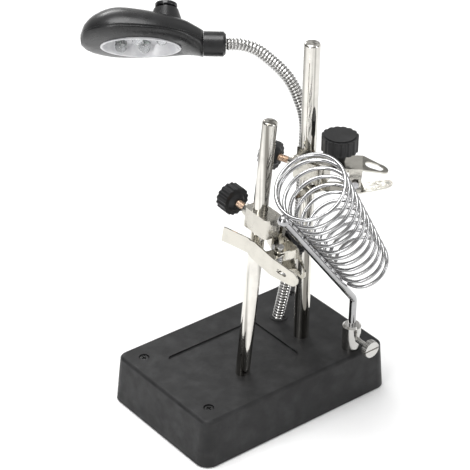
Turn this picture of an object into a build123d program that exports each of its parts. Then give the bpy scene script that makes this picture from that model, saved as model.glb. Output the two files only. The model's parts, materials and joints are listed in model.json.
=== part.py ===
"""Bench vise for circuit boards: a weighted plastic base, two posts with spring clips,
a gooseneck lamp and a spiral holder for a soldering iron.

The frame is in millimetres, +Z up, with its origin at the centre of the base's footprint,
on the surface that the rubber feet stand on. X runs along the base's long side.
"""
from build123d import *
from math import atan2, cos, degrees, radians, sin, tan
import os

os.makedirs("parts", exist_ok=True)

# ---- driving dimensions: base ----
BASE_LENGTH = 190.0
BASE_WIDTH = 124.6
BASE_TOP = 42.0
BASE_DRAFT = 5.0
BASE_CORNER = 11.0
BASE_EDGE = 3.0
BASE_WALL = 2.6
BASE_ROOF = 3.6
FEET_GAP = 1.0
TRAY_LENGTH = 88.5
TRAY_WIDTH = 60.8
TRAY_CENTRE = (-18.2, 0.4)
TRAY_DEPTH = 1.2
PLATE_THICK = 3.0
CORNER_SCREW_X = 76.3
CORNER_SCREW_Y = 42.3
CORNER_SCREW_R = 1.5
CORNER_HEAD_R = 3.9
CORNER_HEAD_DEEP = 2.4
CORNER_RECESS = 0.8
FOOT_R = 6.0
BALLAST_SIZE = (104.0, 76.0, 12.0)
BALLAST_CENTRE = (12.0, 0.0)
CELL_R = 7.0
CELL_LENGTH = 49.0
CELL_CENTRE_X = -62.0
DOOR_THICK = 1.6
DOOR_TRAVEL = 5.0

# ---- driving dimensions: posts ----
FRONT_POST_R = 5.75
FRONT_POST_FOOT = (-25.4, -20.5)
FRONT_POST_RISE = 226.0
FRONT_POST_LEAN = 4.2
LEAN_HEADING = -39.0
REAR_POST_R = 6.3
REAR_POST_FOOT = (44.5, -9.6)
REAR_POST_RISE = 264.0
POST_DOME = 2.0
NUT_HIGH = 5.0
NUT_LIFT = 1.4

# ---- driving dimensions: clamps ----
FRONT_CLAMP_HEIGHT = 142.3
REAR_CLAMP_HEIGHT = 158.0
REAR_CLAMP_YAW = -72.0
FRONT_CLIP_TURN = -84.0
REAR_CLIP_TURN = 30.0
BLOCK_BACK = 10.0
BLOCK_FRONT = 17.5
BLOCK_HALF = 8.2
ARM_PIVOT = 12.5
ARM_LENGTH = 22.0
FRONT_CLIP_AT = 22.0
REAR_CLIP_AT = 15.2
ARM_THICK = 3.0
ARM_HALF = 5.2
SHEET = 1.2
JAW_GAP = 20.8
PIN_AHEAD = 13.0
PIN_LOW = 0.0
PIN_R = 1.6
UPPER_HALF = 11.0
LOWER_HALF = 7.5
TIP_HALF = 6.0
UPPER_REACH = 38.0
LOWER_REACH = 42.0
TAIL_REACH = 12.0
TAIL_HALF = 5.5
TAB_HALF = 6.5
TAB_LENGTH = 22.0
TAB_FLARE = 22.0
KNOB_R = {"front": 12.0, "rear": 14.3}
KNOB_HIGH = 12.0
HUB_LONG = {"front": 2.5, "rear": 10.5}
POST_KNOB_R = 11.6
POST_KNOB_HIGH = 10.5
LOBES = 16
LUG_R = 4.2
SPRING_R = 3.0
SPRING_WIRE_R = 0.6
SPRING_PITCH = 1.8
SPRING_LONG = 9.0
SCREW_R = 2.9
POST_SCREW_LONG = 28.0

# ---- driving dimensions: gooseneck and lamp ----
NECK_R = 5.0
NECK_FOOT = (46.7, 21.8)
NECK_HEADING = 141.0
NECK_END = 46.6
LAMP_HEIGHT = 291.0
LAMP_START = 64.0
LAMP_ROLL = 47.0
LAMP_LENGTH = 93.0
LAMP_WALL = 2.2
LAMP_PARTING = 1.5
LED_R = 4.6

# ---- driving dimensions: iron holder ----
SOCKET_AT = (65.6, -47.1)
SOCKET_R = 7.6
SOCKET_HIGH = 22.5
ROD_R = 3.0
ROD_BEND_Z = 89.0
ROD_RISE = (-98.4, -26.1, 120.4)
WIRE_R = 1.5
COIL_MOUTH_R = 26.8
COIL_END_R = 19.8
COIL_PITCH = 12.2
COIL_TURNS = 11
COIL_SIDE_TURN = -12.0

# ---- clearances ----
RUN = 0.05
GAP = 0.4


def direction(frame, x, y, z):
    """A vector given in a frame's own axes, in the part's axes."""
    return frame.x_dir * x + frame.y_dir * y + frame.z_dir * z


def plane_in(frame, origin, x_dir=(1, 0, 0), z_dir=(0, 0, 1)):
    """A plane placed by coordinates and directions of another frame."""
    return Plane(
        frame.from_local_coords(Vector(*origin)),
        x_dir=direction(frame, *x_dir),
        z_dir=direction(frame, *z_dir),
    )


def save(piece, name):
    """Label a finished piece and write its STEP file."""
    piece.part.label = name
    export_step(piece.part, f"parts/{name}.step")


# ============================== base ==============================
PLATE_BOTTOM = FEET_GAP
PLATE_TOP = PLATE_BOTTOM + PLATE_THICK
ROOF_UNDER = BASE_TOP - BASE_ROOF
SCREW_SPOTS = [
    (-CORNER_SCREW_X, -CORNER_SCREW_Y),
    (-CORNER_SCREW_X, CORNER_SCREW_Y),
    (CORNER_SCREW_X, CORNER_SCREW_Y),
]
BOSS_R = CORNER_HEAD_R + 1.6
LEAN = Vector(
    cos(radians(LEAN_HEADING)) * sin(radians(FRONT_POST_LEAN)),
    sin(radians(LEAN_HEADING)) * sin(radians(FRONT_POST_LEAN)),
    cos(radians(FRONT_POST_LEAN)),
)
FRONT_FOOT = Vector(*FRONT_POST_FOOT, BASE_TOP)
REAR_FOOT = Vector(*REAR_POST_FOOT, BASE_TOP)
front_post_line = Plane(FRONT_FOOT, x_dir=(0, 1, 0), z_dir=LEAN)
rear_post_line = Plane(REAR_FOOT, x_dir=(1, 0, 0), z_dir=(0, 0, 1))
neck_hole = Plane((*NECK_FOOT, BASE_TOP), x_dir=(1, 0, 0), z_dir=(0, 0, 1))
GROMMET_R = NECK_R + 2.4

with BuildPart() as base_shell:
    with BuildSketch(Plane.XY.offset(PLATE_BOTTOM)):
        RectangleRounded(BASE_LENGTH, BASE_WIDTH, BASE_CORNER)
    extrude(amount=BASE_TOP - PLATE_BOTTOM, taper=BASE_DRAFT)
    fillet(base_shell.faces().sort_by(Axis.Z)[-1].edges(), BASE_EDGE)
    with BuildSketch(Plane.XY.offset(PLATE_BOTTOM)):
        RectangleRounded(
            BASE_LENGTH - 2 * BASE_WALL, BASE_WIDTH - 2 * BASE_WALL, BASE_CORNER - BASE_WALL
        )
    extrude(amount=ROOF_UNDER - PLATE_BOTTOM, taper=BASE_DRAFT, mode=Mode.SUBTRACT)
    with BuildSketch(Plane.XY.offset(PLATE_TOP)):
        with Locations(*SCREW_SPOTS):
            Circle(BOSS_R)
        with Locations(SOCKET_AT):
            Circle(BOSS_R)
    extrude(amount=ROOF_UNDER + 1 - PLATE_TOP)
    with BuildSketch(Plane.XY.offset(BASE_TOP)):
        with Locations(TRAY_CENTRE):
            RectangleRounded(TRAY_LENGTH, TRAY_WIDTH, 4)
    extrude(amount=-TRAY_DEPTH, mode=Mode.SUBTRACT)
    with BuildSketch(Plane.XY.offset(BASE_TOP)):
        with Locations(*SCREW_SPOTS):
            Circle(CORNER_HEAD_R + 0.3)
    extrude(amount=-(CORNER_RECESS + CORNER_HEAD_DEEP), mode=Mode.SUBTRACT)
    with BuildSketch(Plane.XY.offset(BASE_TOP)):
        with Locations(*SCREW_SPOTS):
            Circle(CORNER_SCREW_R)
        with Locations(SOCKET_AT):
            Circle(SCREW_R)
    extrude(amount=-BASE_TOP, mode=Mode.SUBTRACT)
    for line, radius in ((front_post_line, FRONT_POST_R), (rear_post_line, REAR_POST_R)):
        with BuildSketch(line.offset(-BASE_ROOF - 5)):
            Circle(radius)
        extrude(amount=2 * BASE_ROOF + 5, mode=Mode.SUBTRACT)
    with BuildSketch(neck_hole.offset(-BASE_ROOF - 1)):
        Circle(GROMMET_R)
    extrude(amount=BASE_ROOF + 2, mode=Mode.SUBTRACT)
save(base_shell, "base_shell")

BAY_LENGTH = 2 * CELL_R + 3.0
BAY_X = 2 * BAY_LENGTH
BAY_Y = CELL_LENGTH + 6.0
INNER_LENGTH = BASE_LENGTH - 2 * BASE_WALL - 2 * PLATE_THICK * tan(radians(BASE_DRAFT)) - 0.4
INNER_WIDTH = BASE_WIDTH - 2 * BASE_WALL - 2 * PLATE_THICK * tan(radians(BASE_DRAFT)) - 0.4
FEET_X = INNER_LENGTH / 2 - FOOT_R - 3
FEET_Y = INNER_WIDTH / 2 - FOOT_R - 3
FOOT_STUB_R = 2.5
FEET_SPOTS = [(0, 0)] + [(sx * FEET_X, sy * FEET_Y) for sx in (-1, 1) for sy in (-1, 1)]

with BuildPart() as base_plate:
    with BuildSketch(Plane.XY.offset(PLATE_BOTTOM)):
        RectangleRounded(INNER_LENGTH, INNER_WIDTH, BASE_CORNER - BASE_WALL - 0.4)
        with Locations(*SCREW_SPOTS):
            Circle(CORNER_SCREW_R - 0.3, mode=Mode.SUBTRACT)
        with Locations(SOCKET_AT):
            Circle(SCREW_R, mode=Mode.SUBTRACT)
        with Locations(*FEET_SPOTS):
            Circle(FOOT_STUB_R, mode=Mode.SUBTRACT)
        with Locations((CELL_CENTRE_X, 0)):
            Rectangle(BAY_X - 1, BAY_Y - 1, mode=Mode.SUBTRACT)
    extrude(amount=PLATE_THICK)
    with BuildSketch(Plane.XY.offset(PLATE_BOTTOM)):
        with Locations((CELL_CENTRE_X + DOOR_TRAVEL / 2, 0)):
            Rectangle(BAY_X + 3 + DOOR_TRAVEL, BAY_Y + 3)
    extrude(amount=DOOR_THICK + 0.1, mode=Mode.SUBTRACT)
save(base_plate, "base_plate")

with BuildPart() as battery_door:
    with BuildSketch(Plane.XY.offset(PLATE_BOTTOM + 0.05)):
        with Locations((CELL_CENTRE_X, 0)):
            RectangleRounded(BAY_X + 2.4, BAY_Y + 2.4, 2)
    extrude(amount=DOOR_THICK - 0.25)
    with BuildSketch(Plane.XY.offset(PLATE_BOTTOM + 0.05)):
        with Locations((CELL_CENTRE_X + 8, 0)):
            with GridLocations(2.5, 1, 4, 1):
                Rectangle(1.1, 18)
    extrude(amount=0.5, mode=Mode.SUBTRACT)
save(battery_door, "battery_door")

TRAY_TOP = PLATE_TOP + 2 * CELL_R + 3.0
with BuildPart() as battery_tray:
    with BuildSketch(Plane.XY.offset(PLATE_TOP)):
        with Locations((CELL_CENTRE_X, 0)):
            Rectangle(BAY_X + 2, BAY_Y + 2)
    extrude(amount=TRAY_TOP - PLATE_TOP)
    with BuildSketch(Plane.XY.offset(PLATE_TOP)):
        with Locations((CELL_CENTRE_X, 0)):
            Rectangle(BAY_X - 1, BAY_Y - 1)
    extrude(amount=2 * CELL_R + 1.2, mode=Mode.SUBTRACT)
save(battery_tray, "battery_tray")

CELL_Z = PLATE_TOP + CELL_R + 1.0
with BuildPart() as battery_cells:
    with BuildSketch(Plane.XZ.offset(-CELL_LENGTH / 2)):
        with Locations((CELL_CENTRE_X - CELL_R - 0.4, CELL_Z), (CELL_CENTRE_X + CELL_R + 0.4, CELL_Z)):
            Circle(CELL_R)
    extrude(amount=CELL_LENGTH)
save(battery_cells, "battery_cells")

with BuildPart() as battery_contacts:
    for side in (-1, 1):
        with BuildSketch(Plane.XZ.offset(-side * (CELL_LENGTH / 2 + 0.6) - 0.5)):
            with Locations((CELL_CENTRE_X, CELL_Z)):
                Rectangle(2 * CELL_R + 8, 10)
        extrude(amount=1.0)
save(battery_contacts, "battery_contacts")

with BuildPart() as rubber_feet:
    with BuildSketch(Plane.XY):
        with Locations(*FEET_SPOTS):
            Circle(FOOT_R)
    extrude(amount=FEET_GAP)
    with BuildSketch(Plane.XY.offset(FEET_GAP)):
        with Locations(*FEET_SPOTS):
            Circle(FOOT_STUB_R)
    extrude(amount=PLATE_THICK)
save(rubber_feet, "rubber_feet")

SCREW_SEAT = BASE_TOP - CORNER_RECESS - CORNER_HEAD_DEEP
with BuildPart() as corner_screws:
    with BuildSketch(Plane.XY.offset(SCREW_SEAT)):
        with Locations(*SCREW_SPOTS):
            Circle(CORNER_HEAD_R)
    extrude(amount=CORNER_HEAD_DEEP)
    chamfer(corner_screws.faces().group_by(Axis.Z)[-1].edges(), 0.5)
    with BuildSketch(Plane.XY.offset(SCREW_SEAT)):
        with Locations(*SCREW_SPOTS):
            Circle(CORNER_SCREW_R - 0.3)
    extrude(amount=-(SCREW_SEAT - PLATE_BOTTOM - 0.5))
    with BuildSketch(Plane.XY.offset(SCREW_SEAT + CORNER_HEAD_DEEP)):
        with Locations(*SCREW_SPOTS):
            Rectangle(4.6, 1.1)
            Rectangle(1.1, 4.6)
    extrude(amount=-1.3, mode=Mode.SUBTRACT)
save(corner_screws, "corner_screws")


POST_DROP = BASE_TOP - PLATE_TOP - 1.0
BALLAST_TOP = PLATE_TOP + BALLAST_SIZE[2]
with BuildPart() as ballast_weight:
    with BuildSketch(Plane.XY.offset(PLATE_TOP)):
        with Locations(BALLAST_CENTRE):
            RectangleRounded(BALLAST_SIZE[0], BALLAST_SIZE[1], 5)
    extrude(amount=BALLAST_SIZE[2])
    for line, radius in ((front_post_line, FRONT_POST_R), (rear_post_line, REAR_POST_R)):
        with BuildSketch(line.offset(-BASE_TOP)):
            Circle(radius)
        extrude(amount=BASE_TOP, mode=Mode.SUBTRACT)
save(ballast_weight, "ballast_weight")


def make_post(line, radius, rise):
    """A round rod with a domed top, from inside the ballast to its full height."""
    with BuildPart() as post:
        with BuildSketch(line.offset(-POST_DROP)):
            Circle(radius)
        extrude(amount=POST_DROP + rise)
        top = post.faces().sort_by(Axis.Z)[-1]
        fillet(top.edges(), POST_DOME)
    return post


front_post = make_post(front_post_line, FRONT_POST_R, FRONT_POST_RISE)
save(front_post, "front_post")
rear_post = make_post(rear_post_line, REAR_POST_R, REAR_POST_RISE)
save(rear_post, "rear_post")

with BuildPart() as post_nuts:
    for line, radius in ((front_post_line, FRONT_POST_R), (rear_post_line, REAR_POST_R)):
        with BuildSketch(line.offset((BALLAST_TOP - BASE_TOP) / line.z_dir.Z + NUT_LIFT)):
            RegularPolygon(radius + 5, 6)
            Circle(radius, mode=Mode.SUBTRACT)
        extrude(amount=NUT_HIGH)
save(post_nuts, "post_nuts")

# ============================== clamps ==============================
POST_LINES = {"front": (front_post_line, FRONT_POST_R), "rear": (rear_post_line, REAR_POST_R)}
ARM_LOW = BLOCK_HALF + GAP
ARM_TOP = ARM_LOW + ARM_THICK
JAW_LOW = ARM_TOP + GAP
JAW_TOP = JAW_LOW + SHEET
LOWER_TOP = JAW_LOW - JAW_GAP
LOWER_LOW = LOWER_TOP - SHEET
TAB_DROP = TAB_LENGTH * sin(radians(TAB_FLARE))
TAB_RUN = TAB_LENGTH * cos(radians(TAB_FLARE))
SLOT_LONG = FRONT_CLIP_AT - REAR_CLIP_AT + 0.2


def clamp_frames(side):
    """The block's frame, whose Z is the post, the arm's and the clip's, whose Z is the knob's axis."""
    line, _ = POST_LINES[side]
    if side == "front":
        at = line.offset(FRONT_CLAMP_HEIGHT).origin
        ahead = Vector(0, -1, 0)
        ahead = (ahead - line.z_dir * ahead.dot(line.z_dir)).normalized()
        block = Plane(at, x_dir=ahead, z_dir=line.z_dir)
        pivot = block.from_local_coords(Vector(ARM_PIVOT, 0, 0))
        arm = Plane(pivot, x_dir=-block.z_dir, z_dir=block.y_dir)
        turn, clip_at = FRONT_CLIP_TURN, FRONT_CLIP_AT
    else:
        at = line.offset(REAR_CLAMP_HEIGHT).origin
        yaw = radians(REAR_CLAMP_YAW)
        block = Plane(at, x_dir=(cos(yaw), sin(yaw), 0), z_dir=line.z_dir)
        pivot = block.from_local_coords(Vector(ARM_PIVOT, 0, 0))
        arm = Plane(pivot, x_dir=block.x_dir, z_dir=block.z_dir)
        turn, clip_at = REAR_CLIP_TURN, REAR_CLIP_AT
    clip_x = direction(arm, cos(radians(turn)), sin(radians(turn)), 0)
    clip = Plane(arm.from_local_coords(Vector(clip_at, 0, 0)), x_dir=clip_x, z_dir=arm.z_dir)
    return block, arm, clip


def lobed_knob(plane, radius, high, neck_r, neck_long, hole_r):
    """A round grip with scalloped sides, a conical hub below it and a hole for its screw."""
    with BuildPart() as knob:
        with BuildSketch(plane):
            Circle(radius)
            with PolarLocations(radius + 1.1, LOBES):
                Circle(1.9, mode=Mode.SUBTRACT)
        extrude(amount=high)
        with BuildSketch(plane.offset(high)):
            Circle(radius - 2.2)
        extrude(amount=0.8)
        hub = Plane(plane.origin, x_dir=plane.x_dir, z_dir=-plane.z_dir)
        with BuildSketch(hub):
            Circle(neck_r + 2.6)
        with BuildSketch(hub.offset(neck_long)):
            Circle(neck_r)
        loft()
        with BuildSketch(hub.offset(neck_long)):
            Circle(hole_r)
        extrude(amount=-(neck_long + 0.7 * high), mode=Mode.SUBTRACT)
    return knob


def jaw_plan(half, tip_x, tab_half):
    """Plan outline of a jaw: a finger tab, a parallel body, and a rounded tip."""
    with BuildSketch() as plan:
        with BuildLine():
            Polyline(
                (-TAIL_REACH, -TAIL_HALF),
                (-5, -half),
                (PIN_AHEAD + 6, -half),
                (tip_x - TIP_HALF, -TIP_HALF),
            )
            ThreePointArc((tip_x - TIP_HALF, -TIP_HALF), (tip_x, 0), (tip_x - TIP_HALF, TIP_HALF))
            Polyline(
                (tip_x - TIP_HALF, TIP_HALF),
                (PIN_AHEAD + 6, half),
                (-5, half),
                (-TAIL_REACH, TAIL_HALF),
                (-TAIL_REACH, -TAIL_HALF),
            )
        make_face()
        with Locations((-TAIL_REACH - TAB_RUN / 2, 0)):
            RectangleRounded(TAB_RUN + 6, 2 * tab_half, 3)
    return plan.sketch


def outline(points):
    """A closed outline from a list of corners."""
    with BuildSketch() as shape:
        with BuildLine():
            Polyline(*points, points[0])
        make_face()
    return shape.sketch


def lug_outline(root, sign):
    """One lug of a jaw, from the sheet's edge to a round end about the pin hole."""
    with BuildSketch() as lug:
        with BuildLine():
            Polyline(
                (PIN_AHEAD - LUG_R, PIN_LOW),
                (PIN_AHEAD - LUG_R - 1.2, root),
                (PIN_AHEAD + LUG_R + 1.2, root),
                (PIN_AHEAD + LUG_R, PIN_LOW),
            )
            ThreePointArc(
                (PIN_AHEAD + LUG_R, PIN_LOW),
                (PIN_AHEAD, PIN_LOW + sign * LUG_R),
                (PIN_AHEAD - LUG_R, PIN_LOW),
            )
        make_face()
        with Locations((PIN_AHEAD, PIN_LOW)):
            Circle(PIN_R + RUN, mode=Mode.SUBTRACT)
    return lug.sketch


def bent_strip(heights, thick, reach, flare_sign):
    """Side outline of a jaw, from its flared tab to its tip, as a band of one thickness."""
    body, tip = heights
    bend = PIN_AHEAD + 5
    lower = [
        (-TAIL_REACH - TAB_RUN, body + flare_sign * TAB_DROP),
        (-TAIL_REACH, body),
        (bend, body),
        (reach, tip),
    ]
    return lower + [(x, z + thick) for x, z in reversed(lower)]


def make_jaw(clip, half, reach, heights, flare_sign, lug_sign, lug_half, window, tab_half):
    """A pressed jaw: plate with window, side lugs with pin holes, and a finger tab."""
    side = plane_in(clip, (0, 0, 0), (1, 0, 0), (0, -1, 0))
    with BuildPart() as jaw:
        with BuildSketch(side):
            add(outline(bent_strip(heights, SHEET, reach + 0.01, flare_sign)))
        extrude(amount=30, both=True)
        with BuildSketch(clip.offset(-40)):
            add(jaw_plan(half, reach, tab_half))
        extrude(amount=80, mode=Mode.INTERSECT)
        with BuildSketch(clip.offset(-40)):
            with Locations((window[0], 0)):
                SlotOverall(window[1], window[2])
        extrude(amount=80, mode=Mode.SUBTRACT)
        root = heights[0] + (SHEET if lug_sign < 0 else 0)
        for end in (-1, 1):
            inner = lug_half - SHEET if end > 0 else -lug_half
            cheek = plane_in(clip, (0, inner + SHEET, 0), (1, 0, 0), (0, -1, 0))
            with BuildSketch(cheek):
                add(lug_outline(root, lug_sign))
            extrude(amount=SHEET)
    return jaw


def make_clamp(side):
    """All the pieces of one clamp, written as separate nodes."""
    line, post_r = POST_LINES[side]
    block_frame, arm_frame, clip = clamp_frames(side)
    hub = HUB_LONG[side]
    knob_low = JAW_TOP + hub + 0.3

    with BuildPart() as block:
        with BuildSketch(block_frame.offset(-BLOCK_HALF)):
            with Locations(((BLOCK_FRONT - BLOCK_BACK) / 2, 0)):
                RectangleRounded(BLOCK_FRONT + BLOCK_BACK, 2 * BLOCK_HALF, 3.5)
        extrude(amount=2 * BLOCK_HALF)
        boss = plane_in(block_frame, (-BLOCK_BACK + 1, 0, 0), (0, 1, 0), (-1, 0, 0))
        with BuildSketch(boss):
            Circle(6.2)
        with BuildSketch(boss.offset(7)):
            Circle(4.6)
        loft()
        with BuildSketch(block_frame.offset(-BLOCK_HALF - 1)):
            Circle(post_r + RUN)
        extrude(amount=2 * BLOCK_HALF + 2, mode=Mode.SUBTRACT)
        with BuildSketch(boss.offset(8)):
            Circle(SCREW_R + RUN)
        extrude(amount=-(8 + BLOCK_BACK - 1), mode=Mode.SUBTRACT)
        with BuildSketch(arm_frame.offset(BLOCK_HALF + 1)):
            Circle(SCREW_R - 0.5 + RUN)
        extrude(amount=-8, mode=Mode.SUBTRACT)
    save(block, f"{side}_block")

    knob_at = -(post_r + 0.3 + POST_SCREW_LONG - 6)
    knob_plane = plane_in(block_frame, (knob_at, 0, 0), (0, 1, 0), (-1, 0, 0))
    post_knob = lobed_knob(knob_plane, POST_KNOB_R, POST_KNOB_HIGH, 5.0, 3.0, SCREW_R)
    save(post_knob, f"{side}_post_knob")
    with BuildPart() as post_screw:
        with BuildSketch(knob_plane.offset(6)):
            Circle(SCREW_R)
        extrude(amount=-POST_SCREW_LONG)
        chamfer(post_screw.edges().filter_by(GeomType.CIRCLE), 0.5)
    save(post_screw, f"{side}_post_screw")

    with BuildPart() as arm:
        with BuildSketch(arm_frame.offset(ARM_LOW)):
            with Locations((ARM_LENGTH / 2, 0)):
                SlotCenterToCenter(ARM_LENGTH, 2 * ARM_HALF)
            Circle(SCREW_R - 0.5 + RUN, mode=Mode.SUBTRACT)
            with Locations(((FRONT_CLIP_AT + REAR_CLIP_AT) / 2, 0)):
                SlotCenterToCenter(SLOT_LONG, 2 * (SCREW_R + RUN), mode=Mode.SUBTRACT)
        extrude(amount=ARM_THICK)
    save(arm, f"{side}_arm")
    with BuildPart() as pivot_screw:
        with BuildSketch(arm_frame.offset(ARM_TOP)):
            Circle(SCREW_R - 0.5)
        extrude(amount=-(ARM_THICK + GAP + 6))
    save(pivot_screw, f"{side}_arm_pivot")

    with BuildPart() as clip_screw:
        with BuildSketch(clip.offset(ARM_LOW - 2)):
            Circle(SCREW_R)
        extrude(amount=knob_low + 0.6 * KNOB_HIGH - ARM_LOW + 2)
    save(clip_screw, f"{side}_clip_screw")
    knob = lobed_knob(clip.offset(knob_low), KNOB_R[side], KNOB_HIGH, 4.3, hub, SCREW_R)
    save(knob, f"{side}_clip_knob")

    upper = make_jaw(
        clip, UPPER_HALF, UPPER_REACH, (JAW_LOW, JAW_LOW - 6.0), 1, -1, UPPER_HALF - 0.8,
        (27.0, 14.0, 9.0), TAB_HALF,
    )
    with BuildPart() as upper_jaw:
        add(upper.part)
        with BuildSketch(clip.offset(JAW_LOW - 1)):
            Circle(SCREW_R + RUN)
        extrude(amount=SHEET + 2, mode=Mode.SUBTRACT)
    save(upper_jaw, f"{side}_upper_jaw")
    lower_jaw = make_jaw(
        clip, LOWER_HALF, LOWER_REACH, (LOWER_LOW, LOWER_LOW + 5.5), -1, 1, LOWER_HALF,
        (27.0, 9.0, 3.4), TAB_HALF,
    )
    save(lower_jaw, f"{side}_lower_jaw")

    pin_line = plane_in(clip, (PIN_AHEAD, -UPPER_HALF - 0.9, PIN_LOW), (1, 0, 0), (0, 1, 0))
    pin_long = 2 * (UPPER_HALF + 0.9)
    with BuildPart() as pin:
        with BuildSketch(pin_line):
            Circle(PIN_R)
        extrude(amount=pin_long)
        with BuildSketch(pin_line):
            Circle(PIN_R + 1.3)
        extrude(amount=-1.1)
        with BuildSketch(pin_line.offset(pin_long)):
            Circle(PIN_R + 1.3)
        extrude(amount=1.1)
    save(pin, f"{side}_jaw_pin")

    with BuildPart() as turns:
        with BuildLine() as path:
            Helix(SPRING_PITCH, SPRING_LONG, SPRING_R)
        with BuildSketch(Plane(path.line @ 0, z_dir=path.line % 0)):
            Circle(SPRING_WIRE_R)
        sweep(is_frenet=True)
    spring_line = plane_in(clip, (PIN_AHEAD, -SPRING_LONG / 2, PIN_LOW), (1, 0, 0), (0, 1, 0))
    with BuildPart() as spring:
        with Locations(spring_line.location):
            add(turns.part)
    save(spring, f"{side}_jaw_spring")
    return block_frame, arm_frame, clip


FRAMES = {side: make_clamp(side) for side in ("front", "rear")}

# ============================== gooseneck ==============================
NECK_DIR = Vector(cos(radians(NECK_HEADING)), sin(radians(NECK_HEADING)), 0)
NECK_SIDE = Vector(sin(radians(NECK_HEADING)), -cos(radians(NECK_HEADING)), 0)
NECK_ROUTE = [(2.0, 34.0), (-14.5, 129.0), (-16.5, 228.0), (-3.5, 264.0), (27.0, LAMP_HEIGHT)]
LOWER_BEND_Z = 66.0
UPPER_BEND_Z = 200.0


def neck_point(along, high):
    """A point of the gooseneck's upright plane."""
    return Vector(*NECK_FOOT, 0) + NECK_DIR * along + Vector(0, 0, high)


def between(low, high, z):
    """The point of a straight run at one height."""
    t = (z - low[1]) / (high[1] - low[1])
    return (low[0] + t * (high[0] - low[0]), z)


NECK_STOP = (LAMP_START - 9.0, LAMP_HEIGHT)
LOWER_BEND = between(NECK_ROUTE[0], NECK_ROUTE[1], LOWER_BEND_Z)
UPPER_BEND = between(NECK_ROUTE[1], NECK_ROUTE[2], UPPER_BEND_Z)
NECK_RUNS = {
    "gooseneck_lower": [NECK_ROUTE[0], LOWER_BEND],
    "gooseneck_middle": [LOWER_BEND, NECK_ROUTE[1], UPPER_BEND],
    "gooseneck_upper": [UPPER_BEND, *NECK_ROUTE[2:], NECK_STOP],
}


def bend_radii(points):
    """The largest smooth radius at each inner corner of a route."""
    radii = []
    for a, b, c in zip(points, points[1:], points[2:]):
        turn = (b - a).get_angle(c - b)
        run = min((b - a).length, (c - b).length)
        radii.append(0.45 * run / tan(radians(turn) / 2))
    return radii


def neck_piece(name):
    """One stretch of the gooseneck: a socket at its lower joint, a ball at its upper one."""
    points = [neck_point(*p) for p in NECK_RUNS[name]]
    with BuildPart() as piece:
        with BuildLine() as path:
            if len(points) == 2:
                Line(*points)
            else:
                FilletPolyline(*points, radius=bend_radii(points))
        with BuildSketch(Plane(points[0], z_dir=path.line % 0)):
            Circle(NECK_R)
        sweep()
        if name != "gooseneck_upper":
            with Locations(points[-1]):
                Sphere(NECK_R)
        if name != "gooseneck_lower":
            with Locations(points[0]):
                Sphere(NECK_R + 0.3, mode=Mode.SUBTRACT)
    return piece


for neck_name in NECK_RUNS:
    save(neck_piece(neck_name), neck_name)

with BuildPart() as gooseneck_grommet:
    with BuildSketch(neck_hole.offset(-BASE_ROOF)):
        Circle(GROMMET_R)
    extrude(amount=BASE_ROOF + 0.8)
    add(neck_piece("gooseneck_lower").part, mode=Mode.SUBTRACT)
save(gooseneck_grommet, "gooseneck_grommet")

# ============================== lamp ==============================
UP = Vector(0, 0, 1)
roll = radians(LAMP_ROLL)
lamp = Plane(
    neck_point(LAMP_START, LAMP_HEIGHT), x_dir=NECK_DIR, z_dir=UP * cos(roll) + NECK_SIDE * sin(roll)
)
ROLL_GAP = 0.3
COLLAR_R = 9.6
COLLAR_LONG = 9.0 - ROLL_GAP

with BuildPart() as gooseneck_collar:
    collar_end = plane_in(lamp, (-ROLL_GAP, 0, 0), (0, 1, 0), (-1, 0, 0))
    with BuildSketch(collar_end):
        Circle(COLLAR_R)
    extrude(amount=COLLAR_LONG + 8.3)
    chamfer(gooseneck_collar.edges().filter_by(GeomType.CIRCLE).sort_by(Axis.X)[-1:], 2.0)
    with BuildSketch(collar_end.offset(COLLAR_LONG)):
        Circle(NECK_R)
    extrude(amount=12, mode=Mode.SUBTRACT)
save(gooseneck_collar, "gooseneck_collar")

# along the lamp: distance from its neck, half width, height of its seam, dome above, depth below
LAMP_SECTIONS = [
    (0.0, 10.5, 0.0, 10.0, 10.0),
    (5.0, 14.5, 0.6, 12.0, 8.6),
    (14.0, 21.5, 1.2, 15.5, 6.6),
    (30.0, 28.5, 1.5, 19.2, 5.8),
    (50.0, 32.0, 1.5, 22.6, 5.8),
    (68.0, 32.0, 1.5, 23.4, 5.8),
    (82.0, 26.0, 1.5, 18.2, 5.2),
    (90.0, 17.0, 1.4, 11.0, 4.2),
    (LAMP_LENGTH, 8.0, 1.0, 4.5, 2.8),
]
LAMP_FLOOR = -3.8
HEEL_X = 16.0


def lamp_body(inset):
    """The lamp's rounded body, drawn in by a wall, cut flat under its light opening."""
    with BuildPart() as body:
        for along, half, seam, dome, depth in LAMP_SECTIONS:
            place = min(max(along, inset), LAMP_LENGTH - inset)
            with BuildSketch(plane_in(lamp, (place, 0, seam), (0, 1, 0), (1, 0, 0))):
                with BuildLine():
                    EllipticalCenterArc((0, 0), half - inset, dome - inset, 0, arc_size=180)
                    EllipticalCenterArc((0, 0), half - inset, depth - inset, 180, arc_size=180)
                make_face()
        loft()
        with BuildSketch(lamp.offset(LAMP_FLOOR + inset - 40)):
            with Locations((HEEL_X + inset + LAMP_LENGTH / 2, 0)):
                Rectangle(LAMP_LENGTH, 120)
        extrude(amount=40, mode=Mode.SUBTRACT)
    return body


outer_body = lamp_body(0)
inner_body = lamp_body(LAMP_WALL)
OPEN_X = 47.5
OPEN_LONG = 29.0
OPEN_WIDE = 18.0
RIM = 1.8
SWITCH_X = 29.0
COLLAR_TOP = 27.0
STEM_R = 6.8
REFLECTOR_ROOF = 4.5
LED_SPOTS = [(63.0, -8.5), (45.0, -8.5), (49.5, 8.5), (31.0, 8.5)]
LAMP_SCREW_X = (13.0, 85.0)
LAMP_SCREW_LOW = (-5.2, -3.2)

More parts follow.
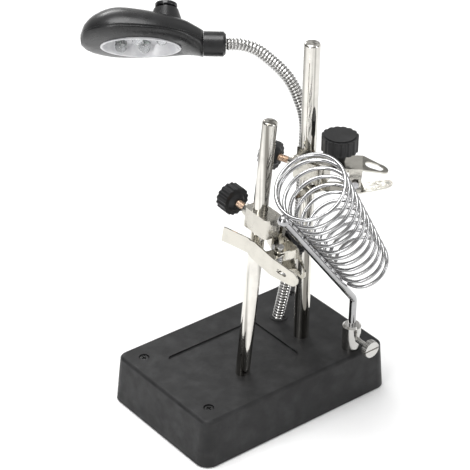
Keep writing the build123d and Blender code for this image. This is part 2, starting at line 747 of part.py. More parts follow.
for name, above in (("lamp_top_shell", True), ("lamp_bottom_shell", False)):
    with BuildPart() as lamp_shell:
        add(outer_body.part)
        add(inner_body.part, mode=Mode.SUBTRACT)
        with BuildSketch(lamp.offset(LAMP_PARTING)):
            with Locations((LAMP_LENGTH / 2, 0)):
                Rectangle(2 * LAMP_LENGTH, 120)
        extrude(amount=-60 if above else 60, mode=Mode.SUBTRACT)
        if above:
            with BuildSketch(lamp.offset(LAMP_PARTING)):
                with Locations((SWITCH_X, 0)):
                    Circle(STEM_R + GAP)
            extrude(amount=60, mode=Mode.SUBTRACT)
        else:
            with BuildSketch(lamp.offset(LAMP_FLOOR - 1)):
                with Locations((OPEN_X, 0)):
                    Ellipse(OPEN_LONG + RIM, OPEN_WIDE + RIM)
            extrude(amount=5.5, mode=Mode.SUBTRACT)
            with BuildSketch(lamp.offset(-30)):
                with Locations(*[(x, 0) for x in LAMP_SCREW_X]):
                    Circle(1.6)
            extrude(amount=36, mode=Mode.SUBTRACT)
    save(lamp_shell, name)

with BuildPart() as lamp_reflector:
    with BuildSketch(lamp.offset(LAMP_FLOOR - 0.6)):
        with Locations((OPEN_X, 0)):
            Ellipse(OPEN_LONG + RIM, OPEN_WIDE + RIM)
    extrude(amount=2.0)
    with BuildSketch(lamp.offset(LAMP_FLOOR + 1.4)):
        with Locations((OPEN_X, 0)):
            Ellipse(OPEN_LONG + 0.8, OPEN_WIDE + 0.8)
    with BuildSketch(lamp.offset(REFLECTOR_ROOF)):
        with Locations((OPEN_X, 0)):
            Ellipse(OPEN_LONG - 3, OPEN_WIDE - 3)
    loft()
    with BuildSketch(lamp.offset(LAMP_FLOOR - 0.6)):
        with Locations((OPEN_X, 0)):
            Ellipse(OPEN_LONG, OPEN_WIDE)
    with BuildSketch(lamp.offset(REFLECTOR_ROOF - 1)):
        with Locations((OPEN_X, 0)):
            Ellipse(OPEN_LONG - 4, OPEN_WIDE - 4)
    loft(mode=Mode.SUBTRACT)
    with BuildSketch(lamp.offset(REFLECTOR_ROOF + 1)):
        with Locations(*LED_SPOTS):
            Circle(LED_R + 0.1)
    extrude(amount=-12, mode=Mode.SUBTRACT)
save(lamp_reflector, "lamp_reflector")

LED_LONG = 9.5
with BuildPart() as lamp_leds:
    with BuildSketch(lamp.offset(REFLECTOR_ROOF)):
        with Locations(*LED_SPOTS):
            Circle(LED_R)
    extrude(amount=-(LED_LONG - LED_R))
    for x, y in LED_SPOTS:
        with Locations(lamp.from_local_coords(Vector(x, y, REFLECTOR_ROOF - LED_LONG + LED_R))):
            Sphere(LED_R)
save(lamp_leds, "lamp_leds")

with BuildPart() as lamp_led_board:
    with BuildSketch(lamp.offset(REFLECTOR_ROOF)):
        with Locations((OPEN_X, 0)):
            RectangleRounded(50, 28, 3)
    extrude(amount=1.6)
save(lamp_led_board, "lamp_led_board")

with BuildPart() as lamp_screws:
    for x, low in zip(LAMP_SCREW_X, LAMP_SCREW_LOW):
        with BuildSketch(lamp.offset(low)):
            with Locations((x, 0)):
                Circle(1.6)
        extrude(amount=LAMP_PARTING - low + 3)
save(lamp_screws, "lamp_screws")

with BuildPart() as lamp_switch_collar:
    with BuildSketch(lamp.offset(COLLAR_TOP - 13)):
        with Locations((SWITCH_X, 0)):
            Circle(14.0)
    with BuildSketch(lamp.offset(COLLAR_TOP)):
        with Locations((SWITCH_X, 0)):
            Circle(9.6)
    loft()
    add(outer_body.part, mode=Mode.SUBTRACT)
    with BuildSketch(lamp.offset(LAMP_PARTING)):
        with Locations((SWITCH_X, 0)):
            Circle(STEM_R + GAP)
    extrude(amount=40, mode=Mode.SUBTRACT)
save(lamp_switch_collar, "lamp_switch_collar")

with BuildPart() as lamp_switch_cap:
    with BuildSketch(lamp.offset(COLLAR_TOP + 1.8)):
        with Locations((SWITCH_X, 0)):
            Circle(8.6)
    extrude(amount=3.4)
    fillet(lamp_switch_cap.edges().filter_by(GeomType.CIRCLE), 1.0)
    with BuildSketch(lamp.offset(COLLAR_TOP + 2.5)):
        with Locations((SWITCH_X, 0)):
            Circle(STEM_R)
    extrude(amount=-14)
save(lamp_switch_cap, "lamp_switch_cap")

SWITCH_SEAT = COLLAR_TOP + 2.5 - 14 - 2.4
with BuildPart() as lamp_switch_body:
    with BuildSketch(lamp.offset(SWITCH_SEAT)):
        with Locations((SWITCH_X, 0)):
            Rectangle(11, 11)
    extrude(amount=-(SWITCH_SEAT - REFLECTOR_ROOF - 1.6))
save(lamp_switch_body, "lamp_switch_body")

# ============================== iron holder ==============================
socket = Plane((*SOCKET_AT, BASE_TOP), x_dir=(1, 0, 0), z_dir=(0, 0, 1))
SOCKET_SCREW_Z = BASE_TOP + 10.5
with BuildPart() as iron_socket:
    with BuildSketch(socket):
        Circle(SOCKET_R)
    extrude(amount=SOCKET_HIGH)
    chamfer(iron_socket.edges().filter_by(GeomType.CIRCLE).sort_by(Axis.Z)[-1:], 1.6)
    with BuildSketch(socket):
        Circle(SCREW_R)
    extrude(amount=-(BASE_TOP - PLATE_BOTTOM - 1))
    with BuildSketch(socket.offset(3)):
        Circle(ROD_R + RUN)
    extrude(amount=SOCKET_HIGH, mode=Mode.SUBTRACT)
    with BuildSketch(Plane((*SOCKET_AT, SOCKET_SCREW_Z), x_dir=(1, 0, 0), z_dir=(0, -1, 0))):
        Circle(2.2 + RUN)
    extrude(amount=SOCKET_R + 1, mode=Mode.SUBTRACT)
save(iron_socket, "iron_socket")

thumb = Plane(
    (SOCKET_AT[0], SOCKET_AT[1] - ROD_R - 0.3, SOCKET_SCREW_Z), x_dir=(1, 0, 0), z_dir=(0, -1, 0)
)
THUMB_LONG = 22.0
THUMB_R = 7.2
with BuildPart() as socket_thumbscrew:
    with BuildSketch(thumb):
        Circle(2.2)
    extrude(amount=THUMB_LONG)
    with BuildSketch(thumb.offset(THUMB_LONG - 5)):
        Circle(THUMB_R)
        with PolarLocations(THUMB_R + 0.35, 24):
            Circle(0.75, mode=Mode.SUBTRACT)
    extrude(amount=5)
    with BuildSketch(thumb.offset(THUMB_LONG)):
        Rectangle(2 * THUMB_R + 2, 1.4)
    extrude(amount=-1.4, mode=Mode.SUBTRACT)
save(socket_thumbscrew, "socket_thumbscrew")

rise = Vector(*ROD_RISE)
axis = rise.normalized()
bend_at = Vector(*SOCKET_AT, ROD_BEND_Z)
rod_tip = bend_at + rise
with BuildPart() as holder_rod:
    with BuildLine() as rod_path:
        FilletPolyline(
            Vector(*SOCKET_AT, BASE_TOP + 3.5), bend_at, rod_tip, radius=9
        )
    with BuildSketch(Plane(Vector(*SOCKET_AT, BASE_TOP + 3.5), z_dir=(0, 0, 1))):
        Circle(ROD_R)
    sweep()
save(holder_rod, "holder_rod")

over = (UP - axis * UP.dot(axis)).normalized()
over = over.rotate(Axis((0, 0, 0), (axis.X, axis.Y, axis.Z)), COIL_SIDE_TURN)
COIL_LONG = COIL_PITCH * COIL_TURNS
taper = atan2(COIL_MOUTH_R - COIL_END_R, COIL_LONG)
mouth_centre = rod_tip - axis * 3 + over * (COIL_MOUTH_R + WIRE_R + ROD_R + 0.2)
coil = Plane(
    mouth_centre, x_dir=axis * sin(taper) - over * cos(taper), z_dir=-axis * cos(taper) - over * sin(taper)
)
with BuildPart() as coil_turns:
    with BuildLine() as coil_path:
        Helix(COIL_PITCH, COIL_LONG, COIL_MOUTH_R, cone_angle=-degrees(taper))
    with BuildSketch(Plane(coil_path.line @ 0, z_dir=coil_path.line % 0)):
        Circle(WIRE_R)
    sweep(is_frenet=True)
with BuildPart() as holder_coil:
    with Locations(coil.location):
        add(coil_turns.part)
save(holder_coil, "holder_coil")

with BuildPart() as holder_mouth_ring:
    with Locations(coil.offset(-2 * WIRE_R - 0.15)):
        Torus(COIL_MOUTH_R, WIRE_R)
save(holder_mouth_ring, "holder_mouth_ring")

with BuildPart() as holder_ferrule:
    with Locations(rod_tip):
        Sphere(4.6)
    add(holder_rod.part, mode=Mode.SUBTRACT)
    add(holder_coil.part, mode=Mode.SUBTRACT)
    add(holder_mouth_ring.part, mode=Mode.SUBTRACT)
save(holder_ferrule, "holder_ferrule")
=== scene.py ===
import json
from math import atan2, cos, pi, radians, sin, tan

import bpy
import bmesh
from mathutils import Matrix, Vector


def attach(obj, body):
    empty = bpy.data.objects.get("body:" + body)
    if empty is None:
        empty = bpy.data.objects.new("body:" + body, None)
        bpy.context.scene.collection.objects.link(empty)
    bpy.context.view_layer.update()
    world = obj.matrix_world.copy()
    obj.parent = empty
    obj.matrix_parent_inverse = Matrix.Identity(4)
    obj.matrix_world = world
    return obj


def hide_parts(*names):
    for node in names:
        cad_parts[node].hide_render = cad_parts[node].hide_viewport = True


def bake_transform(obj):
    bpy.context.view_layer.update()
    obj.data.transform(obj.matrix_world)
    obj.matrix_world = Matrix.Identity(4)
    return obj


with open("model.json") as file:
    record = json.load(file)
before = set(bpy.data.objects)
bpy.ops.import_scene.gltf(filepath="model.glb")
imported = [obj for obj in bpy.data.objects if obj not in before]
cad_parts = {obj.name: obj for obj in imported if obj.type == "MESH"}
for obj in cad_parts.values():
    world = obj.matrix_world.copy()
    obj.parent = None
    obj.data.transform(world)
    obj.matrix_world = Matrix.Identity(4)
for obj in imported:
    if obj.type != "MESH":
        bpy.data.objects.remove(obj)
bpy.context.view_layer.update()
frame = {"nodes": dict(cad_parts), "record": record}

scene = bpy.context.scene
MM = 0.001
UP = Vector((0, 0, 1))
JOINTS = {j["name"]: j for j in frame["record"]["behaviour"]["joints"]}


def millimetres(*values):
    """A point given in millimetres, in metres."""
    return Vector(values) * MM


# ============================== camera, floor and light ==============================
VIEW_HEADING = radians(-38.96)
VIEW_DROP = radians(31.58)
VIEW_ROLL = radians(0.965)
VIEW_RANGE = 1.588
VIEW_CENTRE = Vector((0.0427, 0.0762, 0.0961))
LENS_MM = 146.07

toward_viewer = Vector((
    sin(VIEW_HEADING) * cos(VIEW_DROP),
    -cos(VIEW_HEADING) * cos(VIEW_DROP),
    sin(VIEW_DROP),
))
level_right = Vector((cos(VIEW_HEADING), sin(VIEW_HEADING), 0))
level_up = toward_viewer.cross(level_right)
view_right = level_right * cos(VIEW_ROLL) + level_up * sin(VIEW_ROLL)
view_up = level_up * cos(VIEW_ROLL) - level_right * sin(VIEW_ROLL)
lens = bpy.data.cameras.new("viewer")
lens.sensor_width = 36.0
lens.lens = LENS_MM
lens.clip_start = 0.05
lens.clip_end = 300.0
viewer = bpy.data.objects.new("viewer", lens)
scene.collection.objects.link(viewer)
turned = Matrix((view_right, view_up, toward_viewer)).transposed().to_4x4()
viewer.matrix_world = Matrix.Translation(VIEW_CENTRE + toward_viewer * VIEW_RANGE) @ turned
scene.camera = viewer
scene.view_settings.view_transform = "Standard"


def soft_light(name, place, target, size, watts):
    """A square softbox facing a point."""
    data = bpy.data.lights.new(name, "AREA")
    data.shape = "RECTANGLE"
    data.size, data.size_y = size
    data.energy = watts
    lamp_object = bpy.data.objects.new(name, data)
    scene.collection.objects.link(lamp_object)
    lamp_object.location = place
    lamp_object.rotation_euler = (Vector(target) - Vector(place)).to_track_quat("-Z", "Y").to_euler()


soft_light("overhead softbox", (-0.25, 0.1, 1.4), (0, 0, 0.1), (0.8, 0.8), 15)
soft_light("left softbox", (-1.4, -0.5, 0.7), (0, 0, 0.15), (0.28, 1.2), 8)
soft_light("right softbox", (0.7, -1.5, 0.8), (0, 0, 0.15), (0.22, 1.2), 6)
soft_light("rim softbox", (0.5, 1.5, 1.0), (0, 0, 0.2), (0.7, 0.3), 6)

studio = bpy.data.worlds.new("studio")
scene.world = studio
studio.use_nodes = True
studio_tree = studio.node_tree
studio_tree.nodes.clear()


def link(tree, source, target):
    tree.links.new(source, target)
    return target


def world_node(kind, **settings):
    made = studio_tree.nodes.new(kind)
    for key, value in settings.items():
        setattr(made, key, value)
    return made


# Walls of the studio: pale, with a few dark flags that give plated metal its streaks.
look_direction = world_node("ShaderNodeTexCoord")
parts = world_node("ShaderNodeSeparateXYZ")
heading = world_node("ShaderNodeMath", operation="ARCTAN2")
turn_share = world_node("ShaderNodeMapRange")
flags = world_node("ShaderNodeValToRGB")
height_share = world_node("ShaderNodeMapRange")
lift = world_node("ShaderNodeMix", data_type="RGBA")
sky = world_node("ShaderNodeBackground")
world_out = world_node("ShaderNodeOutputWorld")
link(studio_tree, look_direction.outputs["Generated"], parts.inputs[0])
link(studio_tree, parts.outputs["Y"], heading.inputs[0])
link(studio_tree, parts.outputs["X"], heading.inputs[1])
turn_share.inputs["From Min"].default_value = -pi
turn_share.inputs["From Max"].default_value = pi
link(studio_tree, heading.outputs[0], turn_share.inputs["Value"])
link(studio_tree, turn_share.outputs[0], flags.inputs[0])
FLAG_STOPS = [
    (0.0, 0.30), (0.08, 0.9), (0.15, 0.95), (0.175, 0.05), (0.225, 0.05), (0.25, 0.9), (0.32, 1.0),
    (0.355, 0.08), (0.41, 0.06), (0.44, 0.95), (0.55, 0.95), (0.585, 0.08), (0.65, 0.9), (0.80, 0.85),
    (0.85, 0.04), (0.93, 0.04),
]
stops = flags.color_ramp.elements
while len(stops) < len(FLAG_STOPS):
    stops.new(0.5)
for stop, (place, grey) in zip(stops, FLAG_STOPS):
    stop.position = place
    stop.color = (grey, grey, grey * 0.985, 1)
height_share.inputs["From Min"].default_value = 0.25
height_share.inputs["From Max"].default_value = 0.75
link(studio_tree, parts.outputs["Z"], height_share.inputs["Value"])
link(studio_tree, height_share.outputs[0], lift.inputs["Factor"])
link(studio_tree, flags.outputs["Color"], lift.inputs["A"])
lift.inputs["B"].default_value = (0.95, 0.95, 0.95, 1)
link(studio_tree, lift.outputs["Result"], sky.inputs["Color"])
sky.inputs["Strength"].default_value = 0.72
link(studio_tree, sky.outputs[0], world_out.inputs["Surface"])

# ============================== finishes ==============================


class Finish:
    """A material on the piece's own coordinates, with the few steps that the finishes share."""

    def __init__(self, name, colour, roughness, metallic=0.0, **sockets):
        self.material = bpy.data.materials.new(name)
        self.material.use_nodes = True
        self.tree = self.material.node_tree
        self.shader = self.tree.nodes["Principled BSDF"]
        self.colour = colour
        self.place = self.tree.nodes.new("ShaderNodeTexCoord").outputs["Object"]
        self.height = None
        self.shader.inputs["Base Color"].default_value = (*colour, 1)
        self.shader.inputs["Roughness"].default_value = roughness
        self.shader.inputs["Metallic"].default_value = metallic
        for socket, value in sockets.items():
            self.shader.inputs[socket.replace("_", " ")].default_value = value

    def node(self, kind, **settings):
        made = self.tree.nodes.new(kind)
        for key, value in settings.items():
            setattr(made, key, value)
        return made

    def join(self, source, target):
        self.tree.links.new(source, target)

    def grain(self, size_mm, detail=3.0, stretch=(1, 1, 1)):
        """Noise with features of about that size."""
        spread = self.node("ShaderNodeMapping")
        spread.inputs["Scale"].default_value = stretch
        self.join(self.place, spread.inputs["Vector"])
        noise = self.node("ShaderNodeTexNoise")
        noise.inputs["Scale"].default_value = 1 / (size_mm * MM)
        noise.inputs["Detail"].default_value = detail
        self.join(spread.outputs[0], noise.inputs["Vector"])
        return noise.outputs["Fac"]

    def between(self, source, low, high, start=0.35, stop=0.65):
        """A value that follows a source between two limits."""
        span = self.node("ShaderNodeMapRange")
        for socket, value in (("From Min", start), ("From Max", stop), ("To Min", low), ("To Max", high)):
            span.inputs[socket].default_value = value
        self.join(source, span.inputs["Value"])
        return span.outputs[0]

    def polish(self, source, low, high):
        """Roughness that wanders, as handled or moulded surfaces do."""
        self.join(self.between(source, low, high), self.shader.inputs["Roughness"])
        return self

    def tint(self, source, other, start=0.4, stop=0.6):
        """Colour that goes over to another where the source is high."""
        mix = self.node("ShaderNodeMix", data_type="RGBA")
        mix.inputs["A"].default_value = (*self.colour, 1)
        mix.inputs["B"].default_value = (*other, 1)
        self.join(self.between(source, 0, 1, start, stop), mix.inputs["Factor"])
        base = self.shader.inputs["Base Color"]
        if base.is_linked:
            self.join(base.links[0].from_socket, mix.inputs["A"])
        self.join(mix.outputs["Result"], base)
        return self

    def relief(self, source, depth_mm, strength=1.0):
        """A bump of that depth, laid over any that is there already."""
        bump = self.node("ShaderNodeBump")
        bump.inputs["Distance"].default_value = depth_mm * MM
        bump.inputs["Strength"].default_value = strength
        self.join(source, bump.inputs["Height"])
        if self.height is not None:
            self.join(self.height, bump.inputs["Normal"])
        self.height = bump.outputs["Normal"]
        self.join(self.height, self.shader.inputs["Normal"])
        return self


def moulded(name, colour, grain_mm, depth_mm, low, high, gloss=0.5):
    """Black moulding: spark-eroded grain, faint cloudy sheen and a darker tone where the fine grain is
    raised.
    """
    made = Finish(name, colour, high, Specular_IOR_Level=gloss)
    fine = made.grain(grain_mm, 4.0)
    made.relief(fine, depth_mm, 0.8)
    made.polish(made.grain(9.0, 5.0), low, high)
    made.tint(made.grain(14.0, 6.0), tuple(c * 1.7 + 0.004 for c in colour), 0.45, 0.75)
    made.tint(fine, tuple(c * 0.55 for c in colour), 0.55, 0.8)
    return made.material


def plated(name, colour, low, high, wave_mm=7.0, wave_depth=0.03, painted_reflection_streak=None, painted_reflection_streak_mm=5.0):
    """Bright plating: slightly uneven metal below, fine wiping marks and hazy patches; a streak colour,
    where given, paints dark reflection streaks that run along the piece's height.
    """
    made = Finish(name, colour, low, 1.0)
    made.polish(made.grain(5.0, 6.0), low, high)
    made.tint(made.grain(11.0, 5.0), tuple(c * 0.86 for c in colour), 0.45, 0.7)
    # Painted reflection: dark streaks, long along the height, in the base colour stand in for dark
    # surroundings mirrored in the plating.
    if painted_reflection_streak is not None:
        made.tint(made.grain(painted_reflection_streak_mm, 2.0, (1, 1, 0.015)), painted_reflection_streak, 0.47, 0.60)
    made.relief(made.grain(wave_mm, 1.0), wave_depth)
    made.relief(made.grain(0.5, 2.0, (1, 1, 0.05)), 0.0015, 0.5)
    return made.material


base_black = moulded("base grained black", (0.0120, 0.0120, 0.0125), 0.75, 0.10, 0.42, 0.56, 0.26)
under_black = moulded("underside black", (0.022, 0.022, 0.023), 1.1, 0.03, 0.45, 0.6)
lamp_black = moulded("lamp satin black", (0.0075, 0.0075, 0.008), 0.45, 0.02, 0.24, 0.36, 0.4)
knob_black = moulded("knob black", (0.009, 0.009, 0.0095), 0.5, 0.03, 0.34, 0.46, 0.3)
cap_black = moulded("cap gloss black", (0.010, 0.010, 0.011), 1.5, 0.008, 0.10, 0.2)
# The posts carry painted reflection streaks: dark, upright bands in their base colour.
post_plate = plated("post nickel", (0.72, 0.70, 0.655), 0.05, 0.13, 16.0, 0.02, (0.20, 0.19, 0.17), 5.5)
sheet_plate = plated("pressed sheet nickel", (0.60, 0.58, 0.525), 0.10, 0.24, 6.0, 0.16)
block_plate = plated("cast block nickel", (0.56, 0.54, 0.49), 0.14, 0.30, 3.5, 0.18)
wire_plate = plated("wire chrome", (0.40, 0.40, 0.405), 0.06, 0.15, 5.0, 0.03)
fitting_plate = plated("turned fitting chrome", (0.55, 0.54, 0.52), 0.12, 0.26, 4.0, 0.05)
brass_plate = plated("screw copper brass", (0.58, 0.42, 0.31), 0.18, 0.34, 3.0, 0.04)
plain_steel = plated("plain steel", (0.55, 0.55, 0.56), 0.2, 0.4)

hose = Finish("ribbed hose chrome", (0.56, 0.555, 0.545), 0.16, 1.0)
RIB_PITCH = 2.7
rib_place = hose.node("ShaderNodeAttribute", attribute_name="along").outputs["Fac"]
rib_turns = hose.node("ShaderNodeMath", operation="MULTIPLY")
hose.join(rib_place, rib_turns.inputs[0])
rib_turns.inputs[1].default_value = 2 * pi / (RIB_PITCH * MM)
rib_wave = hose.node("ShaderNodeMath", operation="SINE")
hose.join(rib_turns.outputs[0], rib_wave.inputs[0])
# Painted shade: the base colour goes dark in the rib grooves, where the rib sine is low.
hose.tint(rib_wave.outputs[0], (0.14, 0.137, 0.13), -0.35, -0.95)
hose.polish(hose.grain(4.0, 4.0), 0.12, 0.26)
hose_plate = hose.material

black_oxide = Finish("screw black oxide", (0.018, 0.018, 0.018), 0.3, 0.6)
black_oxide.polish(black_oxide.grain(1.2), 0.22, 0.42).relief(black_oxide.grain(0.6), 0.01)
soft_rubber = Finish("rubber", (0.02, 0.02, 0.02), 0.8)
soft_rubber.polish(soft_rubber.grain(2.0), 0.65, 0.9).relief(soft_rubber.grain(0.7), 0.05)
cast_grey = Finish("cast weight grey", (0.16, 0.16, 0.165), 0.6, 0.7)
cast_grey.polish(cast_grey.grain(3.0), 0.5, 0.75).relief(cast_grey.grain(2.0), 0.25)
cell_wrap = Finish("cell wrap", (0.05, 0.06, 0.09), 0.3)
cell_wrap.polish(cell_wrap.grain(4.0), 0.22, 0.36).tint(cell_wrap.grain(20.0), (0.08, 0.08, 0.1))
mirror_white = Finish("reflector bright white", (0.62, 0.62, 0.63), 0.35, 0.1)
mirror_white.polish(mirror_white.grain(5.0), 0.28, 0.42).relief(mirror_white.grain(3.0, 1.0), 0.05)
mirror_white.tint(mirror_white.grain(8.0), (0.52, 0.52, 0.54))
board = Finish("board green", (0.02, 0.11, 0.04), 0.35)
board.tint(board.grain(1.5), (0.03, 0.17, 0.06)).polish(board.grain(1.0), 0.25, 0.5)
clear_lens = Finish("clear lens", (0.96, 0.97, 0.98), 0.03, Transmission_Weight=0.85, IOR=1.38)
clear_lens.polish(clear_lens.grain(3.0), 0.02, 0.10).relief(clear_lens.grain(4.0, 1.0), 0.03)
bright_lead = Finish("lamp lead silver", (0.42, 0.42, 0.41), 0.2, 1.0)
bright_lead.polish(bright_lead.grain(1.0), 0.12, 0.3)

FLOOR_WHITE = Finish("floor white", (0.93, 0.93, 0.93), 0.7)
FLOOR_WHITE.polish(FLOOR_WHITE.grain(60.0), 0.65, 0.8)
# The softboxes fade away from the object, so the far floor has a glow of its own.
FLOOR_WHITE.shader.inputs["Emission Color"].default_value = (1, 1, 1, 1)
GLOW_FROM, GLOW_TO, GLOW_MOST = 0.5, 3.0, 0.42
floor_reach = FLOOR_WHITE.node("ShaderNodeVectorMath", operation="LENGTH")
FLOOR_WHITE.join(FLOOR_WHITE.place, floor_reach.inputs[0])
far_glow = FLOOR_WHITE.between(
    floor_reach.outputs["Value"], 0.0, GLOW_MOST, start=GLOW_FROM, stop=GLOW_TO
)
FLOOR_WHITE.join(far_glow, FLOOR_WHITE.shader.inputs["Emission Strength"])

NODE_FINISH = {
    base_black: ["base_shell"],
    under_black: ["base_plate", "battery_door", "battery_tray", "lamp_switch_body"],
    lamp_black: ["gooseneck_collar", "lamp_switch_collar"],
    cap_black: ["lamp_switch_cap"],
    post_plate: ["front_post", "rear_post"],
    wire_plate: ["holder_rod", "holder_ferrule"],
    fitting_plate: ["iron_socket", "socket_thumbscrew"],
    plain_steel: ["battery_contacts", "post_nuts"],
    black_oxide.material: ["corner_screws", "lamp_screws"],
    soft_rubber.material: ["rubber_feet", "gooseneck_grommet"],
    cast_grey.material: ["ballast_weight"],
    cell_wrap.material: ["battery_cells"],
    mirror_white.material: ["lamp_reflector"],
    board.material: ["lamp_led_board"],
    clear_lens.material: ["lamp_leds"],
}
for side in ("front", "rear"):
    NODE_FINISH[block_plate] = NODE_FINISH.get(block_plate, []) + [f"{side}_block"]
    NODE_FINISH[knob_black] = NODE_FINISH.get(knob_black, []) + [f"{side}_post_knob", f"{side}_clip_knob"]
    NODE_FINISH[sheet_plate] = NODE_FINISH.get(sheet_plate, []) + [
        f"{side}_arm", f"{side}_upper_jaw", f"{side}_lower_jaw"
    ]
    NODE_FINISH[brass_plate] = NODE_FINISH.get(brass_plate, []) + [f"{side}_arm_pivot"]
    NODE_FINISH[plain_steel] = NODE_FINISH[plain_steel] + [
        f"{side}_jaw_pin", f"{side}_jaw_spring", f"{side}_clip_screw"
    ]
for finish, names in NODE_FINISH.items():
    for name in names:
        node_object = frame["nodes"][name]
        if not node_object.material_slots:
            node_object.data.materials.append(finish)
        for material_slot in node_object.material_slots:
            material_slot.material = finish

# ============================== shared shapes ==============================


def mesh_piece(name, points, faces, finish, smooth=True):
    """A new piece from points in metres, with its faces turned outwards."""
    mesh = bpy.data.meshes.new(name)
    mesh.from_pydata([tuple(p) for p in points], [], faces)
    work = bmesh.new()
    work.from_mesh(mesh)
    bmesh.ops.remove_doubles(work, verts=work.verts, dist=1e-7)
    bmesh.ops.recalc_face_normals(work, faces=work.faces)
    work.to_mesh(mesh)
    work.free()
    mesh.materials.append(finish)
    mesh.polygons.foreach_set("use_smooth", [smooth] * len(mesh.polygons))
    piece = bpy.data.objects.new(name, mesh)
    scene.collection.objects.link(piece)
    return piece


def made_plain(piece):
    """Applies every modifier and leaves a plain mesh on the same object."""
    bpy.context.view_layer.update()
    ready = piece.evaluated_get(bpy.context.evaluated_depsgraph_get())
    mesh = bpy.data.meshes.new_from_object(ready)
    mesh.name = piece.name
    plain = bpy.data.objects.new(piece.name + "_plain", mesh)
    name = piece.name
    bpy.data.objects.remove(piece)
    plain.name = name
    scene.collection.objects.link(plain)
    return plain


def ring_faces(rings, around, closed=True):
    """Quads between rings of equal size."""
    faces = []
    for ring in range(rings - 1):
        for k in range(around if closed else around - 1):
            a = ring * around + k
            b = ring * around + (k + 1) % around
            faces.append((a, b, b + around, a + around))
    return faces


def tube_tree():
    """Node tree for a round tube on a curve, with ribs that run round it."""
    tree = bpy.data.node_groups.new("ribbed tube", "GeometryNodeTree")
    face = tree.interface
    face.new_socket("Geometry", in_out="INPUT", socket_type="NodeSocketGeometry")
    for label in ("Radius", "Rib depth", "Rib pitch", "Start", "Step"):
        face.new_socket(label, in_out="INPUT", socket_type="NodeSocketFloat")
    face.new_socket("Facets", in_out="INPUT", socket_type="NodeSocketInt")
    face.new_socket("Finish", in_out="INPUT", socket_type="NodeSocketMaterial")
    face.new_socket("Geometry", in_out="OUTPUT", socket_type="NodeSocketGeometry")

    def add(kind, **settings):
        made = tree.nodes.new(kind)
        for key, value in settings.items():
            setattr(made, key, value)
        return made

    def math(operation, first, second=None):
        made = add("ShaderNodeMath", operation=operation)
        tree.links.new(first, made.inputs[0])
        if hasattr(second, "links"):
            tree.links.new(second, made.inputs[1])
        elif second is not None:
            made.inputs[1].default_value = second
        return made.outputs[0]

    given = add("NodeGroupInput").outputs
    resample = add("GeometryNodeResampleCurve", mode="LENGTH")
    tree.links.new(given["Geometry"], resample.inputs["Curve"])
    tree.links.new(given["Step"], resample.inputs["Length"])
    run = math("ADD", add("GeometryNodeSplineParameter").outputs["Length"], given["Start"])
    store = add("GeometryNodeStoreNamedAttribute", data_type="FLOAT", domain="POINT")
    store.inputs["Name"].default_value = "along"
    tree.links.new(resample.outputs[0], store.inputs["Geometry"])
    tree.links.new(run, store.inputs["Value"])
    profile = add("GeometryNodeCurvePrimitiveCircle")
    tree.links.new(given["Facets"], profile.inputs["Resolution"])
    tree.links.new(given["Radius"], profile.inputs["Radius"])
    skin = add("GeometryNodeCurveToMesh")
    tree.links.new(store.outputs[0], skin.inputs["Curve"])
    tree.links.new(profile.outputs["Curve"], skin.inputs["Profile Curve"])
    skin.inputs["Fill Caps"].default_value = True
    named = add("GeometryNodeInputNamedAttribute", data_type="FLOAT")
    named.inputs["Name"].default_value = "along"
    turns = math("MULTIPLY", math("DIVIDE", named.outputs["Attribute"], given["Rib pitch"]), 2 * pi)
    swell = math("MULTIPLY", math("SINE", turns), given["Rib depth"])
    outward = add("ShaderNodeVectorMath", operation="SCALE")
    tree.links.new(add("GeometryNodeInputNormal").outputs[0], outward.inputs[0])
    tree.links.new(swell, outward.inputs["Scale"])
    shift = add("GeometryNodeSetPosition")
    tree.links.new(skin.outputs[0], shift.inputs["Geometry"])
    tree.links.new(outward.outputs[0], shift.inputs["Offset"])
    smooth = add("GeometryNodeSetShadeSmooth")
    tree.links.new(shift.outputs[0], smooth.inputs["Geometry"])
    realize = add("GeometryNodeRealizeInstances")
    tree.links.new(smooth.outputs[0], realize.inputs[0])
    paint = add("GeometryNodeSetMaterial")
    tree.links.new(realize.outputs[0], paint.inputs["Geometry"])
    tree.links.new(given["Finish"], paint.inputs["Material"])
    tree.links.new(paint.outputs[0], add("NodeGroupOutput").inputs["Geometry"])
    return tree


TUBE = tube_tree()


def tube_piece(name, points, finish, radius, step, facets, rib=(0.0, 1.0), start=0.0, cyclic=False):
    """A tube along points in metres, made by the tree and left as a plain mesh."""
    curve = bpy.data.curves.new(name, "CURVE")
    curve.dimensions = "3D"
    line = curve.splines.new("POLY")
    line.points.add(len(points) - 1)
    line.points.foreach_set("co", [v for p in points for v in (*p, 1.0)])
    line.use_cyclic_u = cyclic
    piece = bpy.data.objects.new(name, curve)
    scene.collection.objects.link(piece)
    modifier = piece.modifiers.new("tube", "NODES")
    modifier.node_group = TUBE
    values = {
        "Radius": radius, "Rib depth": rib[0], "Rib pitch": rib[1], "Start": start, "Step": step,
        "Facets": facets, "Finish": finish,
    }
    for item in TUBE.interface.items_tree:
        if item.in_out == "INPUT" and item.name in values:
            modifier[item.identifier] = values[item.name]
    return made_plain(piece)


# ============================== gooseneck ==============================
NECK_R = 5.0
NECK_FOOT = (46.7, 21.8)
NECK_HEADING = radians(141.0)
LAMP_HEIGHT = 291.0
LAMP_START = 64.0
NECK_SHORT_OF_LAMP = 8.6
NECK_ROUTE = [(2.0, 34.0), (-14.5, 129.0), (-16.5, 228.0), (-3.5, 264.0), (27.0, LAMP_HEIGHT)]
LOWER_BEND_Z = 66.0
UPPER_BEND_Z = 200.0
neck_dir = Vector((cos(NECK_HEADING), sin(NECK_HEADING), 0))
neck_side = Vector((sin(NECK_HEADING), -cos(NECK_HEADING), 0))


def neck_point(along, high):
    return millimetres(*NECK_FOOT, high) + neck_dir * along * MM


def at_height(low, high, z):
    share = (z - low[1]) / (high[1] - low[1])
    return neck_point(low[0] + share * (high[0] - low[0]), z)


